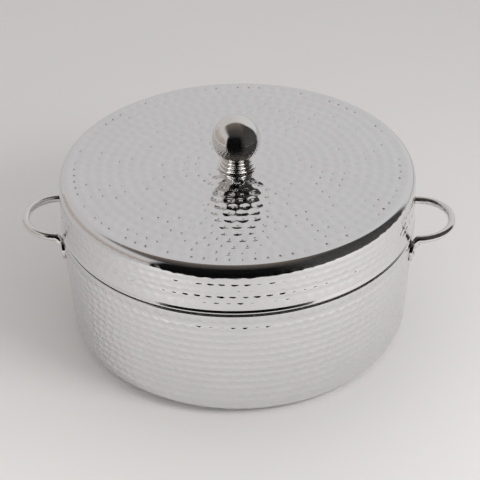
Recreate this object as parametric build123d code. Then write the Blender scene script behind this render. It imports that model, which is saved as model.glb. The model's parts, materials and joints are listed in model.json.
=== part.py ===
from build123d import *
import math
import os

# An insulated hot pot: a double-walled steel pot on z = 0 and a double-walled lid that lifts off
# All sizes are millimetres, with the pot's axis on Z and its two handles on +X and -X

# Pot: outer wall
pot_rim_radius = 140.9
pot_height = 101.0
wall_taper = 3.2
pot_corner_radius = 16.0
rim_corner_radius = 2.0
rim_lip_width = 4.5
shell_sheet = 0.6

# Pot: base plate and the plug in its foaming port
plate_sheet = 0.8
plate_dish_rise = 2.4
plate_ring_width = 19.0
plate_edge_margin = 3.0
port_radius = 8.0
plug_head_radius = 12.0
plug_head_height = 1.5
plug_stem_length = 4.0

# Pot: insulation and inner bowl
wall_foam = 13.7
base_foam = 10.0
bowl_sheet = 0.6
bowl_corner_radius = 20.0
flange_setback = 1.6

# Handles: loop of flat bar with two riveted tabs
bar_thickness = 5.0
bar_height = 6.5
bar_edge_radius = 1.6
loop_half_width = 27.5
loop_flat = 3.0
leg_straight = 1.5
handle_drop = 5.0
bend_radius = 4.5
bend_stand_off = 3.0
slanted_bar_stretch = 1.25
tab_width = 12.0
tab_length = 23.0
tab_thickness = 2.6
rivet_rise = 6.0

# Rivets and the washers that back them inside the wall
rivet_shank_radius = 2.0
rivet_head_radius = 3.6
rivet_head_height = 1.9
rivet_tail_radius = 3.0
rivet_tail_height = 1.5
washer_radius = 7.0
washer_thickness = 1.2

# Lid: outer shell
lid_setback = 0.9
lid_height = 40.4
lid_shoulder_radius = 7.0
lid_sheet = 0.6
bead_height = 3.3
bead_depth = 2.9
bead_proud = 1.3
bead_edge_radius = 1.4

# Lid: liner, a shallow plug that drops into the bowl
liner_sheet = 0.6
liner_plug_depth = 11.0
liner_corner_radius = 6.0

# Knob: ball on a turned collar, held by a stud, washer and nut under the lid's top
ball_radius = 19.1
collar_radius = 15.1
collar_top_radius = 12.4
collar_height = 8.5
collar_ring_count = 4
collar_ring_round = 0.8
ball_seat_radius = 10.6
stud_radius = 3.0
stud_engagement = 18.0
stud_overhang = 2.0
backing_radius = 25.0
backing_thickness = 1.2
lock_washer_radius = 5.9
lock_washer_thickness = 1.6
nut_flats = 10.0
nut_height = 5.0

# Clearances
rivet_clearance = 0.1
stud_clearance = 0.1
plug_clearance = 0.1
liner_clearance = 1.2
plate_clearance = 0.7

# Levels and radii that follow from the sizes above
shell_bottom = plate_sheet
plate_top = plate_dish_rise + plate_sheet
bowl_floor = plate_top + base_foam
seat_level = pot_height + bowl_sheet
lid_top = seat_level + lid_height
lid_radius = pot_rim_radius - lid_setback
bead_bottom = seat_level + liner_sheet
liner_bottom = seat_level - liner_plug_depth


def turned(outline, corners=()):
    """Solid turned about Z from (radius, height) points, with some corners rounded."""
    face = make_face(Polyline(*outline, close=True))
    for corner, radius in corners:
        nearest = face.vertices().sort_by_distance((*corner, 0))[:1]
        face = fillet(nearest, radius)
    return revolve(Plane.XZ * face, Axis.Z)


def disc(radius, low, high, bore=0.0):
    """Flat disc or ring between two heights."""
    outline = [(bore, low), (radius, low), (radius, high), (bore, high)]
    return turned(outline)


def wall_radius(height):
    """Outer radius of the pot's tapered wall at a height."""
    return pot_rim_radius - (pot_height - height) * math.tan(math.radians(wall_taper))


def bowl_radius(height):
    """Outer radius of the inner bowl, one insulation thickness inside the wall."""
    return wall_radius(height) - shell_sheet - wall_foam


def pot_form(inset):
    """Solid inside the pot's outer surface, set in by an amount."""
    low = shell_bottom + inset
    high = pot_height - inset
    foot = (wall_radius(low) - inset, low)
    rim = (wall_radius(high) - inset, high)
    outline = [(0, low), foot, rim, (0, high)]
    return turned(outline, [(foot, pot_corner_radius - inset), (rim, rim_corner_radius - inset)])


def bowl_form(inset):
    """Solid inside the bowl's outer surface, set in by an amount, up to the lid's seat."""
    low = bowl_floor + inset
    foot = (bowl_radius(low) - inset, low)
    rim = (bowl_radius(seat_level) - inset, seat_level)
    outline = [(0, low), foot, rim, (0, seat_level)]
    return turned(outline, [(foot, bowl_corner_radius - inset)])


def lid_form(inset):
    """Solid inside the lid's outer surface, set in by an amount, down to the bead."""
    high = lid_top - inset
    radius = lid_radius - inset
    shoulder = (radius, high)
    outline = [(0, bead_bottom), (radius, bead_bottom), shoulder, (0, high)]
    return turned(outline, [(shoulder, lid_shoulder_radius - inset)])


# Pot shell: drawn steel wall, turned in at the rim and under the base
lip_radius = pot_rim_radius - rim_lip_width
plate_radius = wall_radius(shell_bottom) - pot_corner_radius - plate_edge_margin
plate_step_radius = plate_radius - plate_ring_width
base_hole_radius = plate_step_radius + plate_sheet + plate_clearance
pot_outer_shell = pot_form(0) - pot_form(shell_sheet)
pot_outer_shell -= disc(lip_radius, pot_height - rim_corner_radius, pot_height)
pot_outer_shell -= disc(base_hole_radius, shell_bottom, shell_bottom + shell_sheet)

# Base plate: pressed disc that stands on a flat ring, dished up in the middle
pot_base_plate = turned([
    (port_radius, plate_dish_rise),
    (plate_step_radius, plate_dish_rise),
    (plate_step_radius, 0),
    (plate_radius, 0),
    (plate_radius, plate_sheet),
    (plate_step_radius + plate_sheet, plate_sheet),
    (plate_step_radius + plate_sheet, plate_top),
    (port_radius, plate_top),
])

# Plug that closes the port through which the foam was filled
plug_stem_radius = port_radius - plug_clearance
base_port_plug = disc(plug_head_radius, plate_dish_rise - plug_head_height, plate_dish_rise)
base_port_plug += disc(plug_stem_radius, plate_dish_rise, plate_dish_rise + plug_stem_length)

# Inner bowl: drawn steel, with a flange that lies on the shell's rim lip and carries the lid
flange_radius = pot_rim_radius - flange_setback
inner_bowl = bowl_form(0) + disc(flange_radius, pot_height, seat_level)
inner_bowl -= bowl_form(bowl_sheet)


def wall_place(side, height):
    """Frame on the pot's wall beside the +X handle, with its Z axis square to the wall."""
    radius = wall_radius(height)
    angle = math.asin(side / radius)
    lean = math.radians(wall_taper)
    outward = (
        math.cos(angle) * math.cos(lean),
        math.sin(angle) * math.cos(lean),
        -math.sin(lean),
    )
    return Plane(origin=(radius * math.cos(angle), side, height), z_dir=outward).location


# Handle on +X: one bar bent into a loop, whose ends turn down into tabs on the wall
handle_top = pot_height - handle_drop
bar_level = handle_top - bar_height / 2
tab_tip = handle_top - tab_length
rivet_level = tab_tip + rivet_rise
leg_sides = (loop_half_width, -loop_half_width)


def wall_at_leg(height):
    """Distance out to the pot's wall in line with the loop's legs."""
    return math.sqrt(wall_radius(height) ** 2 - loop_half_width ** 2)


bend_at = wall_at_leg(bar_level) + bend_stand_off


def bar_foot_at():
    """Distance out to the bar's end at the tab's tip, so that it sinks into the tab above the rivet."""
    sink_level = rivet_level + rivet_head_radius + bar_edge_radius
    sink_at = wall_at_leg(sink_level) + tab_thickness - slanted_bar_stretch * bar_height / 2
    share = (sink_level - tab_tip) / (bar_level - tab_tip)
    return (sink_at - share * bend_at) / (1 - share)


bend_turn = math.atan2(bar_level - tab_tip, bend_at - bar_foot_at())
bend_length = bend_radius * math.tan(bend_turn / 2)
loop_corner_radius = loop_half_width - loop_flat / 2
loop_out = bend_at + bend_length + leg_straight + loop_corner_radius
bar_foot = (bar_foot_at(), loop_half_width, tab_tip)
bar_bend = (bend_at, loop_half_width, bar_level)
loop_corner = (loop_out, loop_half_width, bar_level)


def across(point):
    """The same point on the other leg of the loop."""
    return (point[0], -point[1], point[2])


bar_path = FilletPolyline(
    bar_foot,
    bar_bend,
    loop_corner,
    across(loop_corner),
    across(bar_bend),
    across(bar_foot),
    radius=[bend_radius, loop_corner_radius, loop_corner_radius, bend_radius],
)
bar_start = Plane(origin=bar_foot, x_dir=(0, 1, 0), z_dir=bar_path % 0)
bar_section = RectangleRounded(bar_thickness, bar_height, bar_edge_radius)
handle_bar = sweep(bar_start * bar_section, path=bar_path)


def tab_outline(side):
    """Round-ended tab seen along X, run through the wall."""
    middle = (tab_tip + handle_top) / 2
    slot = Plane.YZ * Pos(side, middle) * Rot(0, 0, 90) * SlotOverall(tab_length, tab_width)
    return extrude(slot, pot_rim_radius + tab_thickness + bend_stand_off)


# Rivet places, and how deep the washer and the rivet's tail lie inside the wall
rivet_places = [wall_place(side, rivet_level) for side in leg_sides]
rivet_hole_radius = rivet_shank_radius + rivet_clearance
rivet_crown = tab_thickness + rivet_head_height
washer_seat = -shell_sheet - washer_radius ** 2 / (2 * wall_radius(rivet_level))
washer_back = washer_seat - washer_thickness
rivet_tail = washer_back - rivet_tail_height
rivet_hole = disc(rivet_hole_radius, washer_back, rivet_crown)
rivet_holes = [place * rivet_hole for place in rivet_places]

tab_layer = pot_form(-tab_thickness)
handle_tabs = [tab_layer & tab_outline(side) for side in leg_sides]
right_handle = handle_bar + handle_tabs - pot_form(0) - rivet_holes


def rivet():
    """Rivet along Z with the pot's outer surface at z = 0: domed head, shank and upset tail."""
    rim = (rivet_head_radius, tab_thickness)
    crown = (0, rivet_crown)
    dome_radius = (rivet_head_radius ** 2 + rivet_head_height ** 2) / (2 * rivet_head_height)
    dome = make_face([
        Line((0, tab_thickness), rim),
        RadiusArc(rim, crown, -dome_radius),
        Line(crown, (0, tab_thickness)),
    ])
    shank = disc(rivet_shank_radius, washer_back, tab_thickness)
    tail = disc(rivet_tail_radius, rivet_tail, washer_back)
    return revolve(Plane.XZ * dome, Axis.Z) + shank + tail


rivet_solid = rivet()
washer_solid = disc(washer_radius, washer_back, washer_seat, rivet_hole_radius)
right_rivets = [place * rivet_solid for place in rivet_places]
right_washers = [place * washer_solid for place in rivet_places]


def to_left(shape):
    """The same shape turned half round, for the handle on -X."""
    return Rot(0, 0, 180) * shape


left_handle = to_left(right_handle)
left_rivets = [to_left(piece) for piece in right_rivets]
left_washers = [to_left(piece) for piece in right_washers]
pot_outer_shell = pot_outer_shell - rivet_holes - [to_left(hole) for hole in rivet_holes]

# Rigid foam that fills the pot between shell and bowl, round everything set into it
pot_insulation = pot_form(shell_sheet) + disc(lip_radius, pot_height - rim_corner_radius, pot_height)
pot_insulation = pot_insulation - bowl_form(0) - disc(plate_step_radius + plate_sheet, 0, plate_top)
pot_insulation = pot_insulation - base_port_plug - right_rivets - left_rivets
pot_insulation = pot_insulation - right_washers - left_washers

# Lid shell: flat top, round shoulder, straight skirt and a rolled bead along its edge
bead_radius = lid_radius + bead_proud
bead_inner = bead_radius - bead_depth
bead_top = bead_bottom + bead_height
stud_hole_radius = stud_radius + stud_clearance
lid_bead = turned(
    [(bead_inner, bead_bottom), (bead_radius, bead_bottom), (bead_radius, bead_top), (bead_inner, bead_top)],
    [((bead_radius, bead_bottom), bead_edge_radius), ((bead_radius, bead_top), bead_edge_radius)],
)
lid_outer_shell = lid_form(0) - lid_form(lid_sheet) + lid_bead
lid_outer_shell -= disc(stud_hole_radius, lid_top - lid_shoulder_radius, lid_top)


def liner_form(inset):
    """Solid inside the liner's plug, set in by an amount, up to the top of its flange."""
    low = liner_bottom + inset
    radius = bowl_radius(liner_bottom) - bowl_sheet - liner_clearance - inset
    outline = [(0, low), (radius, low), (radius, bead_bottom), (0, bead_bottom)]
    return turned(outline, [((radius, low), liner_corner_radius - inset)])


# Lid liner: shallow pan whose flange rests on the bowl's flange, under the bead
liner_flange_radius = bead_radius - bead_edge_radius
lid_liner = liner_form(0) + disc(liner_flange_radius, seat_level, bead_bottom) - liner_form(liner_sheet)

# Knob: collar of stacked round-edged rings, cupped at the top to seat the ball
collar_top = lid_top + collar_height
ball_level = collar_top + math.sqrt(ball_radius ** 2 - ball_seat_radius ** 2)
ball_form = Pos(0, 0, ball_level) * Sphere(ball_radius)
ring_height = collar_height / collar_ring_count
ring_step = (collar_radius - collar_top_radius) / (collar_ring_count - 1)


def collar_ring(index):
    """One ring of the collar, counted from the lid up."""
    low = lid_top + index * ring_height
    high = low + ring_height
    radius = collar_radius - index * ring_step
    outline = [(stud_hole_radius, low), (radius, low), (radius, high), (stud_hole_radius, high)]
    return turned(outline, [((radius, low), collar_ring_round), ((radius, high), collar_ring_round)])


collar_rings = [collar_ring(index) for index in range(collar_ring_count)]
knob_collar = collar_rings[0] + collar_rings[1:] - ball_form

# Stud from the ball down through the collar and the lid's top
backing_low = lid_top - lid_sheet - backing_thickness
lock_washer_low = backing_low - lock_washer_thickness
nut_low = lock_washer_low - nut_height
stud_top = ball_level - ball_radius + stud_engagement
knob_ball = ball_form - disc(stud_hole_radius, ball_level - ball_radius, stud_top)
knob_stud = disc(stud_radius, nut_low - stud_overhang, stud_top)
knob_backing_disc = disc(backing_radius, backing_low, lid_top - lid_sheet, stud_hole_radius)
knob_lock_washer = disc(lock_washer_radius, lock_washer_low, backing_low, stud_hole_radius)
nut_blank = extrude(RegularPolygon(nut_flats / 2, 6, major_radius=False), nut_height)
knob_nut = Pos(0, 0, nut_low) * nut_blank - disc(stud_hole_radius, nut_low, lock_washer_low)

# Foam that fills the lid between shell and liner, round the knob's fixings
lid_insulation = lid_form(lid_sheet) + liner_form(liner_sheet) - lid_bead
lid_insulation = lid_insulation - knob_backing_disc - knob_lock_washer - knob_nut
lid_insulation -= disc(stud_hole_radius, nut_low - stud_overhang, lid_top)

pieces = {
    "pot_outer_shell": pot_outer_shell,
    "pot_base_plate": pot_base_plate,
    "base_port_plug": base_port_plug,
    "pot_insulation": pot_insulation,
    "inner_bowl": inner_bowl,
    "right_handle": right_handle,
    "left_handle": left_handle,
    "right_handle_rivets": Compound(right_rivets),
    "left_handle_rivets": Compound(left_rivets),
    "right_rivet_washers": Compound(right_washers),
    "left_rivet_washers": Compound(left_washers),
    "lid_outer_shell": lid_outer_shell,
    "lid_liner": lid_liner,
    "lid_insulation": lid_insulation,
    "knob_ball": knob_ball,
    "knob_collar": knob_collar,
    "knob_stud": knob_stud,
    "knob_backing_disc": knob_backing_disc,
    "knob_lock_washer": knob_lock_washer,
    "knob_nut": knob_nut,
}

os.makedirs("parts", exist_ok=True)
for name, shape in pieces.items():
    export_step(shape, f"parts/{name}.step")
    box = shape.bounding_box()
    print(f"{name}: {len(shape.solids())} solid(s), {shape.volume / 1000:.2f} cm3, z {box.min.Z:.2f} to {box.max.Z:.2f}")
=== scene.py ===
# %% [markdown]
# # A hammered steel hot pot
#
# The real pot is two steel skins with rigid foam between them, and its lift-off lid is made the same way.
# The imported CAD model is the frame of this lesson: it holds every piece at its real size and place.
# Blender adds the looks, so each visible node gets a finer mesh in the same place, and every node its finish.

# %% Load the frame
import json
import math
import random

import bmesh
import bpy
from mathutils import Matrix, Vector


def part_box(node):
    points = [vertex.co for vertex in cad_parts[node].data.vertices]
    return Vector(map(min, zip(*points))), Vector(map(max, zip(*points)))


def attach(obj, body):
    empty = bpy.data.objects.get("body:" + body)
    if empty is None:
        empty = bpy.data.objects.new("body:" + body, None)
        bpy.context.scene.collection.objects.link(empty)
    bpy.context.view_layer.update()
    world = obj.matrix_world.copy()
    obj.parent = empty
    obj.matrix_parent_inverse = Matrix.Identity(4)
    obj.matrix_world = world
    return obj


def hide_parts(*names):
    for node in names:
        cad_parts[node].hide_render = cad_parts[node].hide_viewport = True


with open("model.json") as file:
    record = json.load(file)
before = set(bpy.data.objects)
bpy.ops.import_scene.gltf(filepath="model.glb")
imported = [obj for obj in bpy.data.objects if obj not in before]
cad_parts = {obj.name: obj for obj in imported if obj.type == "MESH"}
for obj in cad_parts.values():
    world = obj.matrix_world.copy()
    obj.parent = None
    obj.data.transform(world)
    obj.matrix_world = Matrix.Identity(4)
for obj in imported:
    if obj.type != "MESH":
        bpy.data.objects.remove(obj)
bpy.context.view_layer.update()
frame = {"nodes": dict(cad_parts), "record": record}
mm = 0.001

# %% [markdown]
# ## Small tools for turned pieces
#
# Nearly everything on this pot is round, because sheet metal is spun or drawn over a form. So most pieces
# start as half an outline, written as points of radius and height, and a spin round the axis makes the mesh.
# A Screw modifier could do it too, but the spin operator leaves a plain mesh whose points can be hammered.
# It turns one sector in small steps, and then repeats that sector round the axis.


# %% Outline points: straight runs and arcs
sectors = 12


def run(first, last, count):
    """Points from first towards last, without last itself."""
    return [
        (first[0] + (last[0] - first[0]) * step / count, first[1] + (last[1] - first[1]) * step / count)
        for step in range(count)
    ]


def arc(centre, radius, start, end, count, tall=1):
    """Points on an arc, with both ends, from a start angle to an end angle in degrees, taller if wanted."""
    points = []
    for step in range(count + 1):
        angle = math.radians(start + (end - start) * step / count)
        points.append((centre[0] + radius * math.cos(angle), centre[1] + tall * radius * math.sin(angle)))
    return points


def turned(outline, steps, closed):
    """A mesh turned round Z from (radius, height) points, joined into a ring or left open at the axis."""
    bm = bmesh.new()
    verts = [bm.verts.new((radius, 0, height)) for radius, height in outline]
    pairs = list(zip(verts, verts[1:]))
    if closed:
        pairs.append((verts[-1], verts[0]))
    edges = [bm.edges.new(pair) for pair in pairs]
    axis = {"cent": (0, 0, 0), "axis": (0, 0, 1)}
    sector = math.tau / sectors
    bmesh.ops.spin(bm, geom=verts + edges, angle=sector, steps=steps // sectors, **axis)
    slice_of_it = bm.verts[:] + bm.edges[:] + bm.faces[:]
    bmesh.ops.spin(
        bm, geom=slice_of_it, angle=math.tau - sector, steps=sectors - 1, use_duplicate=True, **axis
    )
    bmesh.ops.remove_doubles(bm, verts=bm.verts, dist=0.001 * mm)
    bmesh.ops.recalc_face_normals(bm, faces=bm.faces)
    return bm


print("turning tools ready")


# %% Put a finished mesh into the scene
sharp_angle = math.radians(38)


def new_object(name, bm, finish):
    """An object at the origin, made of a finished mesh."""
    mesh = bpy.data.meshes.new(name)
    bm.to_mesh(mesh)
    bm.free()
    mesh.materials.append(finish)
    made = bpy.data.objects.new(name, mesh)
    bpy.context.scene.collection.objects.link(made)
    return made


def add_piece(name, bm, body, slot, finish, *nodes):
    """Make an object of a mesh, let it ride on its body and stand for its CAD nodes."""
    piece = new_object(name, bm, finish)
    piece.data.shade_smooth()
    piece.data.set_sharp_from_angle(angle=sharp_angle)
    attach(piece, body)
    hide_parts(*nodes)
    print(name, "has", len(piece.data.polygons), "faces on body", body)
    return piece


print("faces meet smoothly up to", round(math.degrees(sharp_angle)), "degrees")

# %% [markdown]
# ## Finishes as sums
#
# A finish is a small network of nodes, and long chains of Math nodes are hard to read. Here one class wraps
# a socket, so a sum or product in Python adds its own Math node, and one method makes every other node.


# %% A socket that can be added and multiplied
class Wire:
    """A socket in a finish: sums and products of wires add Math nodes."""

    def __init__(self, tree, socket=None):
        self.tree = tree
        self.socket = socket

    def node(self, kind, settings, inputs, output=0):
        """Add a node, with its settings made first and then the values or links of its sockets."""
        made = self.tree.nodes.new(kind)
        for name, value in settings.items():
            setattr(made, name, value)
        shown = [socket for socket in made.inputs if socket.enabled]
        for name, value in inputs.items():
            target = shown[name] if isinstance(name, int) else next(s for s in shown if s.name == name)
            self.feed(target, value)
        outputs = [socket for socket in made.outputs if socket.enabled]
        found = outputs[output] if isinstance(output, int) else next(s for s in outputs if s.name == output)
        return Wire(self.tree, found)

    def feed(self, target, value):
        """Link a wire to a socket, or set a plain value on it."""
        if isinstance(value, Wire):
            self.tree.links.new(value.socket, target)
        else:
            target.default_value = value

    def combine(self, operation, first, second):
        """A Math node of two values or wires."""
        return self.node("ShaderNodeMath", {"operation": operation}, {0: first, 1: second})

    def __add__(self, other):
        return self.combine("ADD", self, other)

    def __radd__(self, other):
        return self.combine("ADD", other, self)

    def __sub__(self, other):
        return self.combine("SUBTRACT", self, other)

    def __rsub__(self, other):
        return self.combine("SUBTRACT", other, self)

    def __mul__(self, other):
        return self.combine("MULTIPLY", self, other)

    def __rmul__(self, other):
        return self.combine("MULTIPLY", other, self)

    def __pow__(self, other):
        return self.combine("POWER", self, other)


def new_finish(name):
    """A new material: its shader, and a wire to make nodes from."""
    finish = bpy.data.materials.new(name)
    finish.use_nodes = True
    return finish, finish.node_tree.nodes["Principled BSDF"], Wire(finish.node_tree)


def dress(shader, wire, colour, roughness, normal, metallic=1.0):
    """Give a shader what changes over its surface, and say whether it is metal."""
    wire.feed(shader.inputs["Base Color"], colour)
    wire.feed(shader.inputs["Roughness"], roughness)
    wire.feed(shader.inputs["Normal"], normal)
    shader.inputs["Metallic"].default_value = metallic


print("node tools ready")


# %% Patterns that several finishes share
def object_place(wire):
    """The point on the piece, in metres."""
    return wire.node("ShaderNodeTexCoord", {}, {}, "Object")


def object_axes(wire):
    """The same point as three wires: its x, y and z."""
    spot = wire.node("ShaderNodeSeparateXYZ", {}, {"Vector": object_place(wire)})
    return [Wire(wire.tree, out) for out in spot.socket.node.outputs]


def smooth_ramp(wire, value, start, end):
    """From 0 where a value is at its start to 1 where it is at its end."""
    smooth = {"interpolation_type": "SMOOTHSTEP"}
    return wire.node("ShaderNodeMapRange", smooth, {"Value": value, 1: start, 2: end}, "Result")


def speckle(wire, scale, detail=3.0, rough=0.55):
    """Soft noise between about 0.25 and 0.75, at a number of lumps per metre."""
    return wire.node(
        "ShaderNodeTexNoise",
        {"noise_dimensions": "3D"},
        {"Vector": object_place(wire), "Scale": scale, "Detail": detail, "Roughness": rough},
        "Fac",
    )


def turning_lines(wire, per_metre):
    """Fine rings such as a lathe leaves, by distance from the axis and by height."""
    x, y, z = object_axes(wire)
    reach = (x * x + y * y) ** 0.5
    return wire.node(
        "ShaderNodeTexNoise",
        {"noise_dimensions": "1D"},
        {"W": (reach + z * 1.3) * per_metre, "Scale": 1.0, "Detail": 4.0, "Roughness": 0.6},
        "Fac",
    )


def tint(wire, mask, first, second):
    """A colour between two, by a mask. Each may be a wire of its own."""
    ends = {"A": first, "B": second}
    colours = {name: end if isinstance(end, Wire) else (*end, 1) for name, end in ends.items()}
    return wire.node("ShaderNodeMix", {"data_type": "RGBA"}, {"Factor": mask, **colours}, "Result")


def cell_pattern(wire, scale):
    """Distance from the middle of the nearest cell, at a number of cells per metre."""
    return wire.node(
        "ShaderNodeTexVoronoi", {"feature": "F1"}, {"Vector": object_place(wire), "Scale": scale}, "Distance"
    )


def relief(wire, height, depth):
    """A bumped normal from a pattern and its real depth in metres, or from metres and a depth of 1."""
    return wire.node("ShaderNodeBump", {}, {"Height": height, "Distance": depth, "Strength": 1.0}, "Normal")


print("patterns ready")

# %% [markdown]
# ## Hammered steel
#
# The outer skins are polished stainless steel, dented all over by a rounded punch. The dents themselves are
# modelled, so the finish only adds what lies finer than a dent: the burnished hollow of each blow, duller
# ridges between the blows where a cloth wears the polish, and a faint haze from wiping. On the lid's top the
# tip of the punch also leaves a pit in each blow, deep in some and faint in others. It is too small to
# model, so its cone is worked out here from the same rings and steps as the blows.

# %% The rings of blows on the lid's top
first_ring = 24.5 * mm
ring_step = 8.6 * mm
ring_spacing = 9.2 * mm
ring_count = 13
ring_turn = 0.618
top_end = first_ring + (ring_count - 0.5) * ring_step
pit_radius = 1.4 * mm
pit_depth = 0.58 * mm
pit_wander = 0.9 * mm
faint_pit = 0.3
marked_pit = 0.55
last_ring_pit = 0.8
mark_starts = 0.6
mark_is_full = 1.02


def rounded(wire, value):
    """The nearest whole number."""
    return wire.node("ShaderNodeMath", {"operation": "ROUND"}, {0: value})


def punch_pits(wire):
    """Height of the small pits, in metres: a cone at the middle of each blow, some deeper than others."""
    x, y = object_axes(wire)[:2]
    reach = (x * x + y * y) ** 0.5
    ring = rounded(wire, (reach - first_ring) * (1 / ring_step))
    radius = ring * ring_step + first_ring
    count = rounded(wire, radius * (math.tau / ring_spacing))
    angle = wire.combine("ARCTAN2", y, x) * (1 / math.tau)
    place = (angle - ring * ring_turn) * count
    column = rounded(wire, place)
    wrapped = wire.combine("FLOORED_MODULO", column, count)
    seed = wire.node("ShaderNodeCombineXYZ", {}, {"X": ring, "Y": wrapped})
    chance = wire.node("ShaderNodeTexWhiteNoise", {"noise_dimensions": "2D"}, {"Vector": seed}, "Value")
    across = wire.combine("DIVIDE", (place - column) * radius * math.tau, count)
    along = reach - radius + (chance - 0.5) * pit_wander
    away = (across * across + along * along) ** 0.5
    cone = wire.combine("MAXIMUM", 1 - away * (1 / pit_radius), 0.0)
    in_rings = wire.combine("LESS_THAN", reach, top_end)
    patch = speckle(wire, 30)
    marked = smooth_ramp(wire, patch + chance * 0.5, mark_starts, mark_is_full)
    last_ring = wire.combine("GREATER_THAN", ring, ring_count - 1.5)
    strength = faint_pit + marked * marked_pit + last_ring * chance * last_ring_pit
    return cone * in_rings * strength * -pit_depth


print("the rings of blows end", round(top_end / mm, 1), "mm from the axis")


# %% Finish: hammered steel
def hammered_steel(name, pitted):
    """Mirror steel, duller between the blows; where pressed is negative, along the hem's cut underside, rough
    and with painted shade.
    """
    finish, shader, wire = new_finish(name)
    pressed = wire.node("ShaderNodeAttribute", {"attribute_name": "pressed"}, {}, "Fac")
    haze = speckle(wire, 38)
    grain = speckle(wire, 900, 2.0) * (0.004 * mm)
    height = grain + punch_pits(wire) if pitted else grain
    # Where pressed is negative, on the hem's cut underside, the steel is made rough and painted nearly black:
    # the black is painted shade for the gap between lid and pot.
    unpolished_painted_shade = wire.combine("MAXIMUM", pressed * -1, 0.0)
    steel = tint(wire, haze, (0.80, 0.80, 0.805), (0.74, 0.74, 0.745))
    colour = tint(wire, unpolished_painted_shade, steel, (0.07, 0.065, 0.06))
    roughness = 0.04 + haze * 0.04 + (1 - pressed) * 0.015 + unpolished_painted_shade * 0.4
    dress(shader, wire, colour, roughness, relief(wire, height, 1.0))
    return finish


hammered_wall = hammered_steel("hammered_steel", False)
hammered_lid = hammered_steel("hammered_lid_steel", True)
print("finishes made:", hammered_wall.name, hammered_lid.name)

# %% [markdown]
# ## Polished steel
#
# The knob, the handles and the rivets are buffed to a mirror. A perfect mirror looks like glass, so very
# fine scratches and a little haze break it up, at a scale that only shows close by.


# %% Finish: polished steel
def polished_steel():
    finish, shader, wire = new_finish("polished_steel")
    haze = speckle(wire, 60)
    scratches = speckle(wire, 2600, 2.0, 0.7)
    colour = tint(wire, haze, (0.81, 0.80, 0.785), (0.75, 0.74, 0.725))
    roughness = 0.03 + haze * 0.04 + scratches * 0.02
    dress(shader, wire, colour, roughness, relief(wire, scratches, 0.002 * mm))
    return finish


polished = polished_steel()
print("finish made:", polished.name)

# %% [markdown]
# ## Spun steel inside and underneath
#
# The food bowl, the lid's liner and the base plate keep the rings of the spinning lathe. Rings are a pattern
# of one number, the distance from the axis and up the side, so the maths works that out and feeds it to a
# noise of one dimension.


# %% Finish: spun satin steel
def spun_steel(name, bright, dull, per_metre, smoothest):
    """Satin steel with fine rings, between a bright and a dull colour."""
    finish, shader, wire = new_finish(name)
    rings = turning_lines(wire, per_metre)
    haze = speckle(wire, 45)
    colour = tint(wire, rings * 0.7 + haze * 0.3, bright, dull)
    roughness = smoothest + rings * 0.12 + haze * 0.08
    dress(shader, wire, colour, roughness, relief(wire, rings, 0.012 * mm))
    return finish


bowl_steel = spun_steel("bowl_steel", (0.78, 0.78, 0.785), (0.68, 0.68, 0.685), 2400, 0.16)
base_steel = spun_steel("base_steel", (0.66, 0.66, 0.665), (0.52, 0.52, 0.525), 1600, 0.28)
print("finishes made:", bowl_steel.name, base_steel.name)

# %% [markdown]
# ## What stays hidden: fixings, plug and foam
#
# Washers, nut and stud are zinc plated, with the faint crystals of plating. The plug is moulded plastic with
# a spark-eroded skin, and the foam has closed cells. All but the plug show only when the pot is taken apart.


# %% Finishes: plated fixings, moulded plastic, foam
def plated_steel():
    finish, shader, wire = new_finish("fixing_steel")
    crystals = cell_pattern(wire, 700.0)
    colour = tint(wire, crystals, (0.66, 0.66, 0.67), (0.50, 0.50, 0.50))
    dress(shader, wire, colour, 0.28 + crystals * 0.16, relief(wire, crystals, 0.01 * mm))
    return finish


def moulded_plastic():
    finish, shader, wire = new_finish("plug_plastic")
    grain = speckle(wire, 1900, 2.0)
    colour = tint(wire, grain, (0.035, 0.035, 0.037), (0.075, 0.075, 0.075))
    dress(shader, wire, colour, 0.45 + grain * 0.25, relief(wire, grain, 0.03 * mm), 0.0)
    return finish


def rigid_foam():
    finish, shader, wire = new_finish("rigid_foam")
    cells = cell_pattern(wire, 1100.0)
    lumps = speckle(wire, 90)
    colour = tint(wire, lumps, (0.90, 0.83, 0.60), (0.80, 0.70, 0.44))
    dress(shader, wire, colour, 0.75 + cells * 0.2, relief(wire, cells, 0.2 * mm), 0.0)
    return finish


hidden_finishes = {
    "fixing_steel": plated_steel(),
    "plug_plastic": moulded_plastic(),
    "rigid_foam": rigid_foam(),
}
for part in frame["record"]["subparts"]:
    finish = hidden_finishes.get(part["material_slot"])
    node_mesh = frame["nodes"][part["node"]].data
    if finish:
        node_mesh.materials.clear()
        node_mesh.materials.append(finish)
print("finishes made:", sorted(hidden_finishes))

# %% [markdown]
# ## Hammer blows
#
# Each blow leaves a shallow round hollow. Bump mapping would fake it, but a mirror gives fakes away and the
# mesh itself would stay smooth, so the points of the turned wall are really pushed in. A row of blows runs
# round the pot, and no two blows are quite alike, so each draws its size, depth and place from seeded dice.
# The steepness is a power: a higher one makes a hollow with a flatter floor and a steeper edge.

# %% Rows of blows
dice = random.Random(7)
blow_depth = 0.40 * mm
turn_wander = 0.07
along_wander = 0.25 * mm
smallest_blow = 0.93
largest_blow = 1.04
deepest = 1.12
ridge_slope = 1.5 * mm


def row_of_blows(along, radius, spacing, start, depth, steepness=3, shallowest=0.75):
    """One row round the axis, at a place along the outline: its step and each blow's own differences."""
    count = round(math.tau * radius / spacing)
    blows = []
    for number in range(count):
        blows.append({
            "turn": (number + dice.uniform(-turn_wander, turn_wander)) * math.tau / count,
            "along": along + dice.uniform(-along_wander, along_wander),
            "size": dice.uniform(smallest_blow, largest_blow),
            "depth": depth * dice.uniform(shallowest, deepest),
        })
    ring = {"along": along, "step": math.tau / count, "start": start * math.tau}
    return {**ring, "blows": blows, "steepness": steepness}


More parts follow.
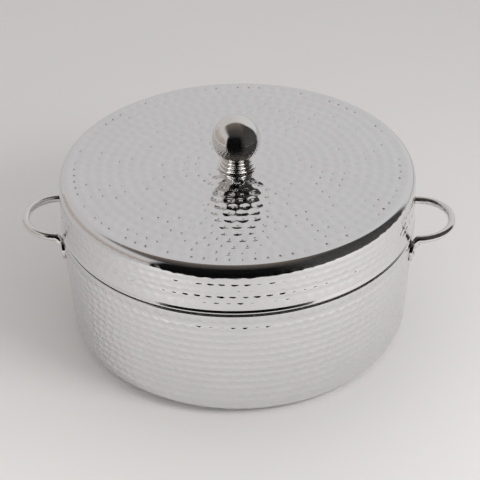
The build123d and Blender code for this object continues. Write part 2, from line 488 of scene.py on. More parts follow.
def hammer(bm, rows, spot, row_step, spacing, ridge=0.0):
    """Press rows of blows into a turned wall, and note on each point how far it was pressed.

    The metal that each blow moves can rise a little in a ridge between the blows.
    """
    first_edge = rows[0]["along"] - row_step / 2
    last_edge = rows[-1]["along"] + row_step / 2
    pressed = bm.verts.layers.float.get("pressed") or bm.verts.layers.float.new("pressed")
    for vert in bm.verts:
        radius = math.hypot(vert.co.x, vert.co.y)
        found = spot(radius, vert.co.z)
        if not found:
            continue
        along, lean = found
        index = round((along - rows[0]["along"]) / row_step)
        if not 0 <= index < len(rows):
            continue
        row = rows[index]
        angle = math.atan2(vert.co.y, vert.co.x)
        number = round((angle - row["start"]) / row["step"]) % len(row["blows"])
        blow = row["blows"][number]
        off_turn = math.remainder(angle - row["start"] - blow["turn"], math.tau)
        across = off_turn * radius / (blow["size"] * spacing / 2)
        down = (along - blow["along"]) / (blow["size"] * row_step / 2)
        share = max(0, 1 - math.hypot(across, down) ** row["steepness"])
        inside = max(0, min(1, min(along - first_edge, last_edge - along) / ridge_slope))
        vert[pressed] = share
        flat = Vector((math.cos(angle), math.sin(angle), 0))
        outward = flat * math.cos(lean) + Vector((0, 0, math.sin(lean)))
        vert.co -= outward * (blow["depth"] * share - ridge * inside)


print("hammer ready, with blows of about", round(blow_depth / mm, 2), "mm")

# %% [markdown]
# ## The pot's outer wall
#
# The wall narrows a little towards the base, turns in under it with a wide round corner, and is curled in
# at the rim. Below a plain strip, thirteen rows of blows go down to the round corner. The first row is the
# deepest and crispest, and the others deepen a little towards the base. No blow goes deeper than the sheet is
# thick, or the foam would show. The inner face needs few points, because the foam hides it.

# %% Pot wall: sizes and outline
rim_radius = 140.9 * mm
rim_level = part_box("pot_outer_shell")[1].z
wall_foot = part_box("pot_outer_shell")[0].z
wall_taper = math.radians(3.2)
corner_radius = 16 * mm
curl_radius = 1 * mm
rim_lip = 4.5 * mm
sheet = 0.6 * mm
base_hole_radius = 98.8 * mm
wall_row_step = 6.5 * mm
wall_spacing = 8.4 * mm
wall_row_count = 13
first_wall_row = 9 * mm
first_row_depth = 0.53 * mm
first_row_steepness = 9
first_row_shallowest = 0.97
wall_steepness = 3.5
row_deepens = 0.01 * mm
points_per_blow = 7


def wall_radius(height):
    """Outer radius of the tapered wall at a height."""
    return rim_radius - (rim_level - height) * math.tan(wall_taper)


corner_height = wall_foot + corner_radius
corner_reach = wall_radius(corner_height) - corner_radius / math.cos(wall_taper)
curl_height = rim_level - curl_radius
curl_reach = wall_radius(curl_height) - curl_radius / math.cos(wall_taper)
lean_down = -math.degrees(wall_taper)
wall_straight = (rim_level - corner_height) / math.cos(wall_taper)


def wall_point(along):
    """Point of the straight wall at a distance down from the rim."""
    height = rim_level - along * math.cos(wall_taper)
    return (wall_radius(height), height)


curl = arc((curl_reach, curl_height), curl_radius, 90, lean_down, 8)
corner = arc((corner_reach, corner_height), corner_radius, lean_down, -90, 22)
straight_start = first_wall_row - wall_row_step / 2
straight_steps = round((wall_straight - straight_start) / wall_row_step * points_per_blow)
outer_wall = [(rim_radius - rim_lip, rim_level), *curl]
outer_wall += run(wall_point(straight_start), corner[0], straight_steps)
outer_wall += [*corner, (base_hole_radius, wall_foot)]
inner_wall = [(radius - sheet, height + sheet) for radius, height in corner[::-5]]
inner_wall += [(curl_reach + curl_radius - sheet, curl_height), (rim_radius - rim_lip, rim_level - sheet)]
inner_wall = [(base_hole_radius, wall_foot + sheet), *inner_wall]
print("wall outline has", len(outer_wall), "points outside and", len(inner_wall), "inside")

# %% Pot wall: spin and hammer
wall_columns = sectors * round(math.tau * rim_radius / wall_spacing * points_per_blow / sectors)


def wall_spot(radius, height):
    """Distance down the outside from the rim, and which way it faces. Nothing for the inside."""
    if radius < wall_radius(height) - sheet / 2 and height > corner_height:
        return None
    if height > corner_height:
        return (rim_level - height) / math.cos(wall_taper), -wall_taper
    if math.hypot(radius - corner_reach, height - corner_height) < corner_radius - sheet / 2:
        return None
    lean = math.atan2(height - corner_height, radius - corner_reach)
    return wall_straight + corner_radius * (-wall_taper - lean), lean


wall_blows = [(first_row_depth, first_row_steepness, first_row_shallowest)]
wall_blows += [(blow_depth + number * row_deepens, wall_steepness) for number in range(1, wall_row_count)]
wall_rows = [
    row_of_blows(first_wall_row + number * wall_row_step, rim_radius, wall_spacing, dice.random(), *blows)
    for number, blows in enumerate(wall_blows)
]
wall_mesh = turned(outer_wall + inner_wall, wall_columns, closed=True)
hammer(wall_mesh, wall_rows, wall_spot, wall_row_step, wall_spacing)
add_piece("hammered_pot_wall", wall_mesh, "pot", "hammered_steel", hammered_wall, "pot_outer_shell")

# %% [markdown]
# ## The lid's outer shell
#
# The lid is a deep cap: a flat hammered top, a smooth round shoulder, a hammered skirt and a hem that flares
# out along the edge. The blows on top lie in rings round the knob, with ridges between them, and the skirt
# has five rows of unequal depth. The hem's cut underside isn't polished, so its points are marked: the finish
# makes them rough and paints them nearly black, a painted shade for the gap between lid and pot.

# %% Lid shell: sizes and outline
lid_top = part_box("lid_outer_shell")[1].z
lid_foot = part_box("lid_outer_shell")[0].z
lid_radius = 140.0 * mm
shoulder_radius = 7 * mm
shoulder_tall = 8.6 * mm
hem_radius = 140.6 * mm
hem_lift = 0.15 * mm
hem_round = 0.35 * mm
hem_face = 0.6 * mm
flare_length = 2.5 * mm
flare_lean = 12.5
flare_round = 2.4 * mm
hem_depth = 2.4 * mm
stud_hole_radius = 3.1 * mm
skirt_row_step = 5.4 * mm
skirt_spacing = 8.7 * mm
skirt_depths = [depth * mm for depth in (0.18, 0.36, 0.25, 0.48, 0.37)]
plain_middle = 9 * mm
edge_sheet = 0.5 * mm
shoulder_shape = shoulder_tall / shoulder_radius
shoulder_height = lid_top - shoulder_tall
shoulder_reach = lid_radius - shoulder_radius
first_skirt_row = 6.7 * mm
top_start = first_ring - ring_step / 2
skirt_end = first_skirt_row + (len(skirt_depths) - 0.5) * skirt_row_step
skirt_low = lid_top - skirt_end
hem_low = lid_foot + hem_lift
hem_corner = hem_low + hem_round
flare_low = hem_corner + hem_face
flare_top = flare_low + flare_length

top = [(stud_hole_radius, lid_top), (plain_middle, lid_top)]
top += run((top_start, lid_top), (top_end, lid_top), ring_count * points_per_blow)
top.append((top_end, lid_top))
shoulder_centre = (shoulder_reach, shoulder_height)
shoulder = arc(shoulder_centre, shoulder_radius, 90, 0, 22, shoulder_shape)
skirt_steps = round((shoulder_height - skirt_low) / skirt_row_step * points_per_blow)
skirt = run((lid_radius, shoulder_height), (lid_radius, skirt_low), skirt_steps)[1:]
skirt.append((lid_radius, skirt_low))
hem = arc((lid_radius + flare_round, flare_top), flare_round, 180, 180 + flare_lean, 4)
hem += arc((hem_radius - hem_round, flare_low), hem_round, flare_lean, 0, 3)
hem += arc((hem_radius - hem_round, hem_corner), hem_round, 0, -90, 6)
inside = [
    (lid_radius - edge_sheet, hem_low),
    (lid_radius - edge_sheet, lid_foot),
    (hem_radius - hem_depth, lid_foot),
    (hem_radius - hem_depth, flare_low),
    (lid_radius - sheet, flare_top),
]
inside += arc(shoulder_centre, shoulder_radius - sheet, 0, 90, 4, shoulder_shape)
inside += [(stud_hole_radius, lid_top - sheet)]
lid_outline = top + shoulder + skirt + hem + inside
print("lid outline has", len(lid_outline), "points")

# %% Lid shell: spin and hammer
lid_columns = sectors * round(math.tau * top_end / ring_spacing * points_per_blow / sectors)
highest_lean = 0.8
off_curve = 0.04


def top_spot(radius, height):
    """Distance out from the axis on the lid's top, which faces up."""
    if height > lid_top - sheet / 2 and radius < top_end:
        return radius, math.pi / 2
    return None


def skirt_spot(radius, height):
    """Distance down from the lid's top on the skirt and the foot of the shoulder, and which way it faces."""
    if skirt_low < height < shoulder_height and abs(radius - lid_radius) < sheet / 2:
        return lid_top - height, 0
    flat = (radius - shoulder_reach) / shoulder_radius
    rise = (height - shoulder_height) / shoulder_tall
    lean = math.atan2(rise / shoulder_tall, flat / shoulder_radius)
    if 0 <= lean < highest_lean and abs(math.hypot(flat, rise) - 1) < off_curve:
        return lid_top - height, lean
    return None


ring_depth = 0.50 * mm
ring_ridge = 0.10 * mm
ring_steepness = 2.5
last_ring_steepness = 4.0
ring_radii = [first_ring + number * ring_step for number in range(ring_count)]
steepnesses = [ring_steepness] * (ring_count - 1) + [last_ring_steepness]
ring_rows = [
    row_of_blows(radius, radius, ring_spacing, number * ring_turn, ring_depth, steepness)
    for number, (radius, steepness) in enumerate(zip(ring_radii, steepnesses))
]
skirt_rows = [
    row_of_blows(first_skirt_row + number * skirt_row_step, lid_radius, skirt_spacing, dice.random(), depth)
    for number, depth in enumerate(skirt_depths)
]
lid_mesh = turned(lid_outline, lid_columns, closed=True)
hammer(lid_mesh, ring_rows, top_spot, ring_step, ring_spacing, ring_ridge)
hammer(lid_mesh, skirt_rows, skirt_spot, skirt_row_step, skirt_spacing)
pressed_layer = lid_mesh.verts.layers.float["pressed"]
# The hem's cut underside gets -1: the finish makes it rough and paints it nearly black, a painted shade for
# the gap under the lid's hem.
for vert in lid_mesh.verts:
    if vert.co.z < hem_low + 0.01 * mm:
        vert[pressed_layer] = -1
add_piece("hammered_lid_shell", lid_mesh, "lid", "hammered_steel", hammered_lid, "lid_outer_shell")

# %% [markdown]
# ## Food bowl and lid liner
#
# Both are smooth spun pans. The bowl hangs by its flange on the rim of the wall, and the liner closes the
# lid from below and drops into the bowl like a shallow plug.

# %% Food bowl
bowl_low, bowl_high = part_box("inner_bowl")
wall_gap = 14.3 * mm
bowl_corner = 20 * mm
mouth_radius = 2 * mm
flange_edge = 0.3 * mm
flange_overlap = 0.6 * mm
smooth_columns = 192


def bowl_radius(height):
    """Outer radius of the bowl, one foam thickness inside the wall."""
    return wall_radius(height) - wall_gap


def bowl_side(inset):
    """The bowl's outline from the axis along the floor, round the corner and up to the flange."""
    floor = bowl_low.z + inset
    middle = floor + bowl_corner - inset
    reach = bowl_radius(middle) - inset - (bowl_corner - inset) / math.cos(wall_taper)
    corner_arc = arc((reach, middle), bowl_corner - inset, -90, lean_down, 14)
    top_of_side = (bowl_radius(bowl_high.z) - inset, bowl_high.z - sheet)
    return [(0, floor), (0.4 * reach, floor), *corner_arc, top_of_side]


bowl_mouth = bowl_radius(bowl_high.z) - sheet
mouth_centre = (bowl_mouth + mouth_radius, bowl_high.z - mouth_radius)
mouth_round = arc(mouth_centre, mouth_radius, 180 + lean_down, 90, 6)
flange_reach = rim_radius - rim_lip + flange_overlap
flange = arc((flange_reach - flange_edge, bowl_high.z - flange_edge), flange_edge, 90, -90, 6)
under_flange = [(bowl_mouth + mouth_radius, bowl_high.z - sheet)]
bowl_outline = bowl_side(sheet)[:-1] + mouth_round + flange + under_flange + bowl_side(0)[::-1][1:]
bowl_mesh = turned(bowl_outline, smooth_columns, closed=False)
add_piece("spun_food_bowl", bowl_mesh, "pot", "bowl_steel", bowl_steel, "inner_bowl")

# %% Lid liner
liner_low, liner_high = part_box("lid_liner")
plug_clearance = 1.2 * mm
plug_radius = bowl_radius(liner_low.z) - sheet - plug_clearance
plug_corner = 6 * mm
liner_overlap = 0.4 * mm


def liner_side(inset):
    """The liner's outline from the axis along its pan, round the corner and up to the flange."""
    low = liner_low.z + inset
    middle = (plug_radius - plug_corner, low + plug_corner - inset)
    return [(0, low), (0.5 * plug_radius, low), *arc(middle, plug_corner - inset, -90, 0, 10)]


liner_reach = hem_radius - hem_depth + liner_overlap
liner_flange = arc((liner_reach - flange_edge, liner_high.z - flange_edge), flange_edge, -90, 90, 6)
liner_neck = [(plug_radius, liner_high.z - sheet)]
liner_inside = [(plug_radius - sheet, liner_high.z), *liner_side(sheet)[::-1]]
liner_outline = liner_side(0) + liner_neck + liner_flange + liner_inside
liner_mesh = turned(liner_outline, smooth_columns, closed=False)
add_piece("spun_lid_liner", liner_mesh, "lid", "bowl_steel", bowl_steel, "lid_liner")

# %% [markdown]
# ## The knob
#
# A polished ball sits on a turned collar. The ball is drilled from below for its stud, so it is a sphere
# that is cut flat at its seat, and the flat is inset and pushed up for the bore. A turned outline would do
# as well, but a ready sphere needs none. The collar is a stack of three round-edged rings, each an arc.

# %% Knob ball
ball_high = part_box("knob_ball")[1]
ball_radius = ball_high.x
ball_centre = Vector((0, 0, ball_high.z - ball_radius))
seat_radius = 10.6 * mm
seat_level = ball_centre.z - math.sqrt(ball_radius ** 2 - seat_radius ** 2)
ball_mesh = bmesh.new()
bmesh.ops.create_uvsphere(ball_mesh, u_segments=128, v_segments=80, radius=ball_radius)
bmesh.ops.translate(ball_mesh, verts=ball_mesh.verts, vec=ball_centre)
cut = bmesh.ops.bisect_plane(
    ball_mesh,
    geom=ball_mesh.verts[:] + ball_mesh.edges[:] + ball_mesh.faces[:],
    plane_co=(0, 0, seat_level),
    plane_no=(0, 0, -1),
    clear_outer=True,
)
seat_edges = [item for item in cut["geom_cut"] if isinstance(item, bmesh.types.BMEdge)]
seat_face = bmesh.ops.contextual_create(ball_mesh, geom=seat_edges)["faces"]
seat_width = seat_radius - stud_hole_radius
bmesh.ops.inset_region(ball_mesh, faces=seat_face, thickness=seat_width, use_even_offset=True)
bore = bmesh.ops.extrude_face_region(ball_mesh, geom=seat_face)
bore_verts = [item for item in bore["geom"] if isinstance(item, bmesh.types.BMVert)]
bmesh.ops.delete(ball_mesh, geom=seat_face, context="FACES_ONLY")
bmesh.ops.translate(ball_mesh, verts=bore_verts, vec=(0, 0, ball_radius))
bmesh.ops.recalc_face_normals(ball_mesh, faces=ball_mesh.faces)
add_piece("knob_ball_polished", ball_mesh, "lid", "polished_steel", polished, "knob_ball")

# %% Knob collar
collar_low, collar_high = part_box("knob_collar")
collar_foot_radius = collar_high.x
collar_top_radius = 12.4 * mm
collar_rings = 3
collar_ring = (collar_high.z - collar_low.z) / collar_rings
ring_narrowing = (collar_foot_radius - collar_top_radius) / (collar_rings - 1)
groove = 0.12 * mm
seat_dip = 2 * mm
round_edge = (collar_ring - groove) / 2
collar_outline = [(stud_hole_radius, collar_low.z)]
for number in range(collar_rings):
    reach = collar_foot_radius - number * ring_narrowing - round_edge
    middle = collar_low.z + (number + 0.5) * collar_ring
    collar_outline += arc((reach, middle), round_edge, -90, 90, 12)
collar_outline += [(seat_radius, collar_high.z), (stud_hole_radius, collar_high.z - seat_dip)]
collar_mesh = turned(collar_outline, 120, closed=True)
knob_collar = add_piece("knob_collar_turned", collar_mesh, "lid", "polished_steel", polished, "knob_collar")

# %% [markdown]
# ## The handles
#
# Each handle is one round rod: a loop that sticks straight out, with both ends turned down against the wall
# and beaten into flat oval plates. A curve with a bevel would make the loop, but can't flatten towards its
# end, so rings of points are set along the rod and neighbours are bridged. A plate is a disc that is
# extruded, scaled, bevelled and laid on the wall. The mirror operator adds the other half of the handle.

# %% Handle: sizes and the cross-section
handle_low, handle_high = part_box("right_handle")
rod_height = 6.5 * mm
rod_width = 6.0 * mm
leg_side = 28.3 * mm
loop_flat = 3.0 * mm
loop_rise = 1.0 * mm
bend_radius = 3.5 * mm
leg_length = 6.5 * mm
tab_width = 13.0 * mm
tab_length = 17.4 * mm
tab_thickness = 2.4 * mm
tab_edge = 0.7 * mm
tab_sink = 0.05 * mm
leg_end_share = 0.8
corner_steps = 24
bend_steps = 9
leg_steps = 8
tab_tip = handle_low.z
tab_middle = tab_tip + tab_length / 2
rod_level = handle_high.z - rod_height / 2
loop_corner = leg_side - loop_flat / 2
loop_reach = handle_high.x - rod_width / 2
up = Vector((0, 0, 1))


def blend(first, last, share):
    """A value between two."""
    return first + (last - first) * share


def ease(share):
    """A smooth step from 0 to 1."""
    return share * share * (3 - 2 * share)


def section(bm, centre, wide, thick, width, thickness):
    """A ring of points round the rod."""
    ring = bmesh.ops.create_circle(bm, segments=36, radius=0.5)["verts"]
    for vert in ring:
        vert.co = centre + wide * vert.co.x * width + thick * vert.co.y * thickness
    return ring


def ring_edges(ring):
    """The edges of one ring of points."""
    own = set(ring)
    return [edge for vert in ring for edge in vert.link_edges if edge.other_vert(vert) in own]


print("handle loop reaches", round(loop_reach / mm, 1), "mm from the axis")


# %% Handle: the loop and the tab
bend_end = rod_level - bend_radius


def on_wall(level, away):
    """A spot beside the wall in front of a leg, and the way out from the wall there."""
    turn = math.asin(leg_side / wall_radius(level))
    out = Vector((math.cos(turn), math.sin(turn), 0))
    return out * (wall_radius(level) + away) + up * level, out


def loop_sections(bm):
    """Sections of the rod: half the flat, the round corner, the bend, and the leg down the wall."""
    centre = Vector((loop_reach - loop_corner, loop_flat / 2, rod_level))
    outermost = Vector((loop_reach, 0, rod_level + loop_rise))
    rings = [section(bm, outermost, Vector((1, 0, 0)), up, rod_width, rod_height)]
    for step in range(corner_steps + 1):
        angle = math.radians(90) * step / corner_steps
        outward = Vector((math.cos(angle), math.sin(angle), 0))
        leg_start = centre + outward * loop_corner + up * loop_rise * math.cos(angle)
        rings.append(section(bm, leg_start, outward, up, rod_width, rod_height))
    leg_end, out = on_wall(bend_end, rod_height / 2)
    for step in range(1, bend_steps + 1):
        bend = math.radians(90) * step / bend_steps
        spin = Matrix.Rotation(math.atan2(out.y, out.x) * step / bend_steps, 3, "Z")
        inward = blend(leg_start.x, leg_end.x, math.sin(bend))
        sideways = blend(leg_start.y, leg_end.y, step / bend_steps)
        place = Vector((inward, sideways, rod_level - bend_radius * (1 - math.cos(bend))))
        away = spin @ Vector((-math.sin(bend), 0, math.cos(bend)))
        rings.append(section(bm, place, spin @ Vector((0, 1, 0)), away, rod_width, rod_height))
    for step in range(1, leg_steps + 1):
        share = ease(step / leg_steps)
        width = blend(rod_width, rod_width * leg_end_share, share)
        thickness = blend(rod_height, tab_thickness * leg_end_share, share)
        place, out = on_wall(bend_end - leg_length * step / leg_steps, thickness / 2)
        rings.append(section(bm, place, up.cross(out), -out, width, thickness))
    return rings


def join_mesh(bm, other):
    """Add another mesh to this one."""
    kept = bpy.data.meshes.new("joined")
    other.to_mesh(kept)
    other.free()
    bm.from_mesh(kept)
    bpy.data.meshes.remove(kept)


def add_tab(bm):
    """The oval plate at the leg's end, with a rounded edge and laid on the wall."""
    plate = bmesh.new()
    bmesh.ops.create_circle(plate, cap_ends=True, segments=64, radius=0.5)
    grown = bmesh.ops.extrude_face_region(plate, geom=plate.faces[:])["geom"]
    top = [item for item in grown if isinstance(item, bmesh.types.BMVert)]
    bmesh.ops.translate(plate, verts=top, vec=up)
    bmesh.ops.scale(plate, verts=plate.verts, vec=(tab_width, tab_length, tab_thickness))
    rim = [edge for edge in plate.edges if all(vert in top for vert in edge.verts)]
    bmesh.ops.bevel(
        plate, geom=rim, offset=tab_edge, offset_type="OFFSET",
        affect="EDGES", segments=5, profile=0.5, material=-1,
    )
    foot, out = on_wall(tab_middle, -tab_sink)
    axes = Matrix((up.cross(out), up, out)).transposed().to_4x4()
    lean = Matrix.Rotation(wall_taper, 4, "X")
    bmesh.ops.transform(plate, verts=plate.verts, matrix=Matrix.Translation(foot) @ axes @ lean)
    join_mesh(bm, plate)


print("each tab is", round(tab_length / mm, 1), "mm tall")


# %% Handle: bridge, mirror and place
def handle_mesh(half_turn):
    """One whole handle, on +X or turned half round to -X."""
    bm = bmesh.new()
    edges = [ring_edges(ring) for ring in loop_sections(bm)]
    for first, second in zip(edges, edges[1:]):
        bmesh.ops.bridge_loops(bm, edges=list(set(first) | set(second)))
    bmesh.ops.contextual_create(bm, geom=list(set(edges[-1])))
    add_tab(bm)
    whole = bm.verts[:] + bm.edges[:] + bm.faces[:]
    bmesh.ops.mirror(bm, geom=whole, matrix=Matrix.Identity(4), merge_dist=0.01 * mm, axis="Y")
    bmesh.ops.remove_doubles(bm, verts=bm.verts, dist=0.005 * mm)
    bmesh.ops.recalc_face_normals(bm, faces=bm.faces)
    bmesh.ops.rotate(bm, verts=bm.verts, cent=(0, 0, 0), matrix=Matrix.Rotation(half_turn, 3, "Z"))
    return bm


half_turns = {"right_handle": 0.0, "left_handle": math.pi}
for handle, half_turn in half_turns.items():
    add_piece(handle + "_loop", handle_mesh(half_turn), "pot", "polished_steel", polished, handle)

# %% [markdown]
# ## Rivets
#
# A rivet is a low dome on the tab, a shank through the wall and an upset tail inside. Foam hides the tail, so
# the outline ends with the shank. It is turned, and set square to the wall at each of the four tabs.

# %% Rivets
rivet_level = tab_middle - 2.2 * mm
rivet_dome = 2.9 * mm
rivet_rise = 1.1 * mm
rivet_shank = 2.0 * mm
rivet_edge = 0.5 * mm
rivet_inside = -3.4 * mm
dome_sweep = 2 * math.atan2(rivet_rise, rivet_dome)
dome_round = rivet_dome / math.sin(dome_sweep)
dome_low = 90 - math.degrees(dome_sweep)


def rivet_mesh():
    """One rivet along Z, with the pot's wall at height 0."""
    dome = arc((0, tab_thickness + rivet_rise - dome_round), dome_round, 90, dome_low, 10)
    dome = [(max(radius, 0), height) for radius, height in dome]
    edge = [(rivet_dome, tab_thickness - rivet_edge), (rivet_shank, tab_thickness - rivet_edge)]
    shank = [(rivet_shank, rivet_inside), (0, rivet_inside)]
    return turned(dome + edge + shank, 48, closed=False)


def rivet_pair(half_turn):
    """The two rivets of one handle, set square to the wall."""
    pair = bmesh.new()
    for side in (leg_side, -leg_side):
        turn = math.asin(side / wall_radius(rivet_level))
        lean = Matrix.Rotation(math.pi / 2 + wall_taper, 4, "Y")
        out_to_wall = Matrix.Translation((wall_radius(rivet_level), 0, rivet_level))
        place = Matrix.Rotation(turn + half_turn, 4, "Z") @ out_to_wall
        one = rivet_mesh()
        bmesh.ops.transform(one, verts=one.verts, matrix=place @ lean)
        join_mesh(pair, one)
    return pair


for handle, half_turn in half_turns.items():
    pair = rivet_pair(half_turn)
    add_piece(handle + "_rivet_pair", pair, "pot", "polished_steel", polished, handle + "_rivets")

# %% [markdown]
# ## Underneath
#
# The base plate is pressed from sheet: it stands on a flat ring and is dished up in the middle, with round
# pressed edges. A plastic plug closes the hole through which the foam was filled.

# %% Base plate
plate_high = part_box("pot_base_plate")[1]
plug_low, plug_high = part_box("base_port_plug")
plate_sheet = 0.8 * mm
plate_ring = 19 * mm
port_radius = 8 * mm
plate_radius = plate_high.x
step_radius = plate_radius - plate_ring
dish = plate_high.z - plate_sheet
press = 0.7 * mm
plate_edge = arc((plate_radius - plate_sheet / 2, plate_sheet / 2), plate_sheet / 2, 90, -90, 6)
plate_outline = [(step_radius + plate_sheet, plate_sheet), *plate_edge]
plate_outline += arc((step_radius + press, press), press, -90, -180, 5)
plate_outline += arc((step_radius - press, dish - press), press, 0, 90, 5)
plate_outline += [(port_radius, dish), (port_radius, plate_high.z)]
plate_outline += [(step_radius + plate_sheet, plate_high.z)]
plate_mesh = turned(plate_outline, smooth_columns, closed=True)
add_piece("pressed_base_plate", plate_mesh, "pot", "base_steel", base_steel, "pot_base_plate")

# %% Plug
port_plug_radius = plug_high.x
plug_stem = port_radius - 0.1 * mm
plug_round = 0.9 * mm
dimple_level = plug_low.z + 0.5 * mm
dimple_floor = 3.2 * mm
dimple_mouth = 3.6 * mm
plug_outline = [(0, dimple_level), (dimple_floor, dimple_level), (dimple_mouth, plug_low.z)]
plug_outline += arc((port_plug_radius - plug_round, plug_low.z + plug_round), plug_round, -90, 0, 6)
plug_outline += [(port_plug_radius, dish), (plug_stem, dish), (plug_stem, plug_high.z), (0, plug_high.z)]
plug_mesh = turned(plug_outline, 72, closed=False)
add_piece(
    "foam_port_plug", plug_mesh, "pot", "plug_plastic", hidden_finishes["plug_plastic"], "base_port_plug"
)

# %% [markdown]
# ## Floor, world and lamps
#
# Polished steel has hardly any colour of its own: it shows the room. So the set matters as much as the
# finish. The pot stands on a plain pale floor under a pale sky, a little brighter on the right. A soft lamp
# lifts the floor on the right, and a small narrow one the floor in front on the left, where the wall mirrors
# it. Two more light the collar alone, through light linking, because its fine rings find no highlight of
# their own in such an even room.


# %% Floor and world
def floor_paint():
    finish, shader, wire = new_finish("pale_floor")
    paint = tint(wire, speckle(wire, 6), (0.795, 0.785, 0.775), (0.785, 0.775, 0.765))
    wire.feed(shader.inputs["Base Color"], paint)
    shader.inputs["Roughness"].default_value = 0.9
    shader.inputs["Specular IOR Level"].default_value = 0.1
    return finish


def stage_mesh(name, bm, finish):
    """Something of the set, not of the pot."""
    thing = new_object(name, bm, finish)
    return thing


floor_mesh = bmesh.new()
bmesh.ops.create_circle(floor_mesh, cap_ends=True, segments=96, radius=12.0)
stage_mesh("floor", floor_mesh, floor_paint())

sky = bpy.data.worlds.new("pale_sky")
bpy.context.scene.world = sky
sky.use_nodes = True
background = sky.node_tree.nodes["Background"]
sky_wire = Wire(sky.node_tree)
looking = sky_wire.node("ShaderNodeTexCoord", {}, {}, "Generated")
sideways = sky_wire.node("ShaderNodeSeparateXYZ", {}, {"Vector": looking}, "X")
to_right = smooth_ramp(sky_wire, sideways, -0.5, 0.5)
sky_wire.feed(background.inputs["Color"], tint(sky_wire, to_right, (0.60, 0.585, 0.58), (0.70, 0.69, 0.69)))
background.inputs["Strength"].default_value = 1.0
print("floor and sky made")


# %% Lamps
white_light = (1.0, 0.99, 0.985)
warm_light = (1.0, 0.97, 0.94)
collar_spot = (0, 0, 0.148)


def soft_lamp(name, place, aim, size, power, colour, spread=100):
    """A square lamp that shines from a place at an aim, and spreads by some degrees."""
    lamp = bpy.data.lights.new(name, "AREA")
    lamp.size = size
    lamp.spread = math.radians(spread)
    lamp.energy = power
    lamp.color = colour
    holder = bpy.data.objects.new(name, lamp)
    bpy.context.scene.collection.objects.link(holder)
    holder.location = place
    holder.rotation_euler = (Vector(aim) - Vector(place)).to_track_quat("-Z", "Y").to_euler()
    return holder


right_lamp = soft_lamp(
    "right_lamp", place=(0.78, -0.55, 0.75), aim=(0.28, -0.22, 0.0),
    size=0.45, power=1.85, colour=white_light,
)
left_lamp = soft_lamp(
    "left_lamp", place=(-0.5, -0.75, 0.5), aim=(-0.25, -0.36, 0.0),
    size=0.1, power=0.10, colour=white_light, spread=38,
)
for floor_lamp in (right_lamp, left_lamp):
    floor_lamp.visible_glossy = False
collar_only = bpy.data.collections.new("collar_only")
collar_only.objects.link(knob_collar)
for name, side in (("left_kicker", -1), ("right_kicker", 1)):
    kicker = soft_lamp(
        name, place=(side * 0.25, -0.33, 0.42), aim=collar_spot, size=0.34, power=0.34, colour=warm_light
    )
    kicker.light_linking.receiver_collection = collar_only
print("lamps made")

# %% [markdown]
# ## Cards
#
# A studio hangs dark cards where the steel should go dark: they draw the black line along the lid's
# shoulder, the dark dots on the skirt and the dark middle of the ball. A beige one gives the left shoulder
# its warm strip. A mirror shows a card's edge as a hard line, so most cloths thin out towards theirs. The
# cards are seen by reflections alone, so they cast no shadow and don't dim the floor.


# %% Cloth and cards
def fading_cloth(name, first, last, tones, fades):
    """A cloth that goes from a first tone to a last one, and thins out to nothing.

    Each tone or fade is an axis, where it starts and where it is full.
    """
    finish, shader, wire = new_finish(name)
    along = dict(zip("xyz", object_axes(wire)))
    cover = 1.0
    for axis, start, end in fades:
        cover = cover * smooth_ramp(wire, along[axis], start, end)
    if fades:
        wire.feed(shader.inputs["Alpha"], cover)
    towards_last = 0.0
    for axis, start, end in tones:
        towards_last = wire.combine("MAXIMUM", smooth_ramp(wire, along[axis], start, end), towards_last)
    wire.feed(shader.inputs["Base Color"], tint(wire, towards_last, first, last))
    shader.inputs["Roughness"].default_value = 1.0
    shader.inputs["Specular IOR Level"].default_value = 0.0
    return finish


def card(name, corners, finish):
    """A flat card between corners, seen by reflections alone."""
    bm = bmesh.new()
    bm.faces.new([bm.verts.new(corner) for corner in corners])
    made = stage_mesh(name, bm, finish)
    made.visible_camera = False
    made.visible_diffuse = False
    made.visible_shadow = False


def standing_card(name, first, last, low, high, finish):
    """An upright card over the line between two spots on the floor."""
    card(name, [(*first, low), (*last, low), (*last, high), (*first, high)], finish)


print("cloth and card tools ready")

# %% Places of the cards and their cloths
ceiling = 1.3
ceiling_left = -1.5
ceiling_right = 1.38
ceiling_back = 0.65
right_side = 0.88
right_end = 0.50
front_side = -1.6
front_end = -1.6
left_side = -1.9
left_end = 1.5
left_top = 1.2
table_level = 0.002
camera_side = -0.36
camera_left = -0.39
camera_right = 0.36
camera_low = 0.06
camera_top = 0.68
black = (0.006,) * 3
side_tones = [(0.10,) * 3, (0.09,) * 3, [("z", 0.0, ceiling)]]
right_cloth = fading_cloth("right_cloth", *side_tones, [("y", right_end, 0.3)])
front_cloth = fading_cloth("front_cloth", *side_tones, [("x", front_end, -1.1)])
black_cloth = fading_cloth("black_cloth", black, (0.09, 0.085, 0.08), [("x", 0.25, 0.55)], [])
beige_cloth = fading_cloth(
    "beige_cloth", (0.77, 0.68, 0.61), (0.69, 0.60, 0.54), [("y", 0.5, -0.8)], [("z", left_top, 0.3)]
)
ceiling_cloth = fading_cloth(
    "ceiling_cloth", (0.31, 0.265, 0.225), (0.10, 0.095, 0.09),
    [("y", 0.5, -0.7), ("x", -0.1, right_side)], [("x", -1.45, -0.75), ("y", 0.62, 0.30)]
)
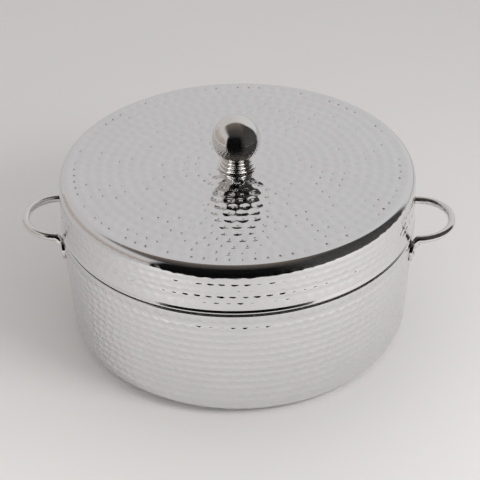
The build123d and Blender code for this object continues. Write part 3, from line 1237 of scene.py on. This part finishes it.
camera_cloth = fading_cloth(
    "camera_cloth", black, (0.03,) * 3,
    [("z", 0.3, 0.6)], [("x", camera_left, -0.28), ("x", camera_right, 0.10), ("z", camera_top, 0.36)]
)
print("the ceiling hangs at", ceiling, "m")

# %% Hang the cards
card("ceiling_card", [
    (ceiling_left, ceiling_back, ceiling), (ceiling_right, ceiling_back, ceiling),
    (ceiling_right, front_side, ceiling), (ceiling_left, front_side, ceiling),
], ceiling_cloth)
standing_card("right_card", (right_side, front_side), (right_side, right_end), 0.0, ceiling, right_cloth)
standing_card("front_card", (front_end, front_side), (right_side, front_side), 0.0, ceiling, front_cloth)
standing_card("left_card", (left_side, front_side), (left_side, left_end), 0.0, left_top, beige_cloth)
table_edge = [
    (-0.5, -0.45), (0.42, -0.45), (0.54, -0.30), (0.54, 0.20),
    (right_side, 0.30), (right_side, front_side), (-0.75, front_side),
]
card("table_edge_card", [(x, y, table_level) for x, y in table_edge], black_cloth)
camera_feet = [(camera_left, camera_side), (camera_right, camera_side)]
standing_card("camera_card", *camera_feet, camera_low, camera_top, camera_cloth)
print("cards hung")

# %% [markdown]
# ## Camera
#
# The camera looks down on the pot from about 1.2 metres away, a little to the right of straight ahead. Its
# place and lens were fitted to the outlines of the lid and the wall, and a fit gives the focal length in
# pixels, so the lens is worked out from that and the width of the picture.

# %% Camera
camera_turn = math.radians(2.7)
camera_away = 1.01863
camera_height = 0.76833
aim_point = Vector((0.001344, 0, 0.071596))
camera_roll = -0.0191
focal_pixels = 1525
frame_pixels = 480
camera_data = bpy.data.cameras.new("camera")
camera_data.sensor_width = 36.0
camera_data.lens = camera_data.sensor_width * focal_pixels / frame_pixels
camera = bpy.data.objects.new("camera", camera_data)
bpy.context.scene.collection.objects.link(camera)
stand = Vector((0, -camera_away, camera_height))
facing = (aim_point - stand).to_track_quat("-Z", "Y").to_matrix() @ Matrix.Rotation(camera_roll, 3, "Z")
camera.matrix_world = Matrix.Rotation(camera_turn, 4, "Z") @ Matrix.Translation(stand) @ facing.to_4x4()
bpy.context.scene.camera = camera
bpy.context.scene.view_settings.view_transform = "Standard"
print("camera lens", round(camera_data.lens, 1), "mm")
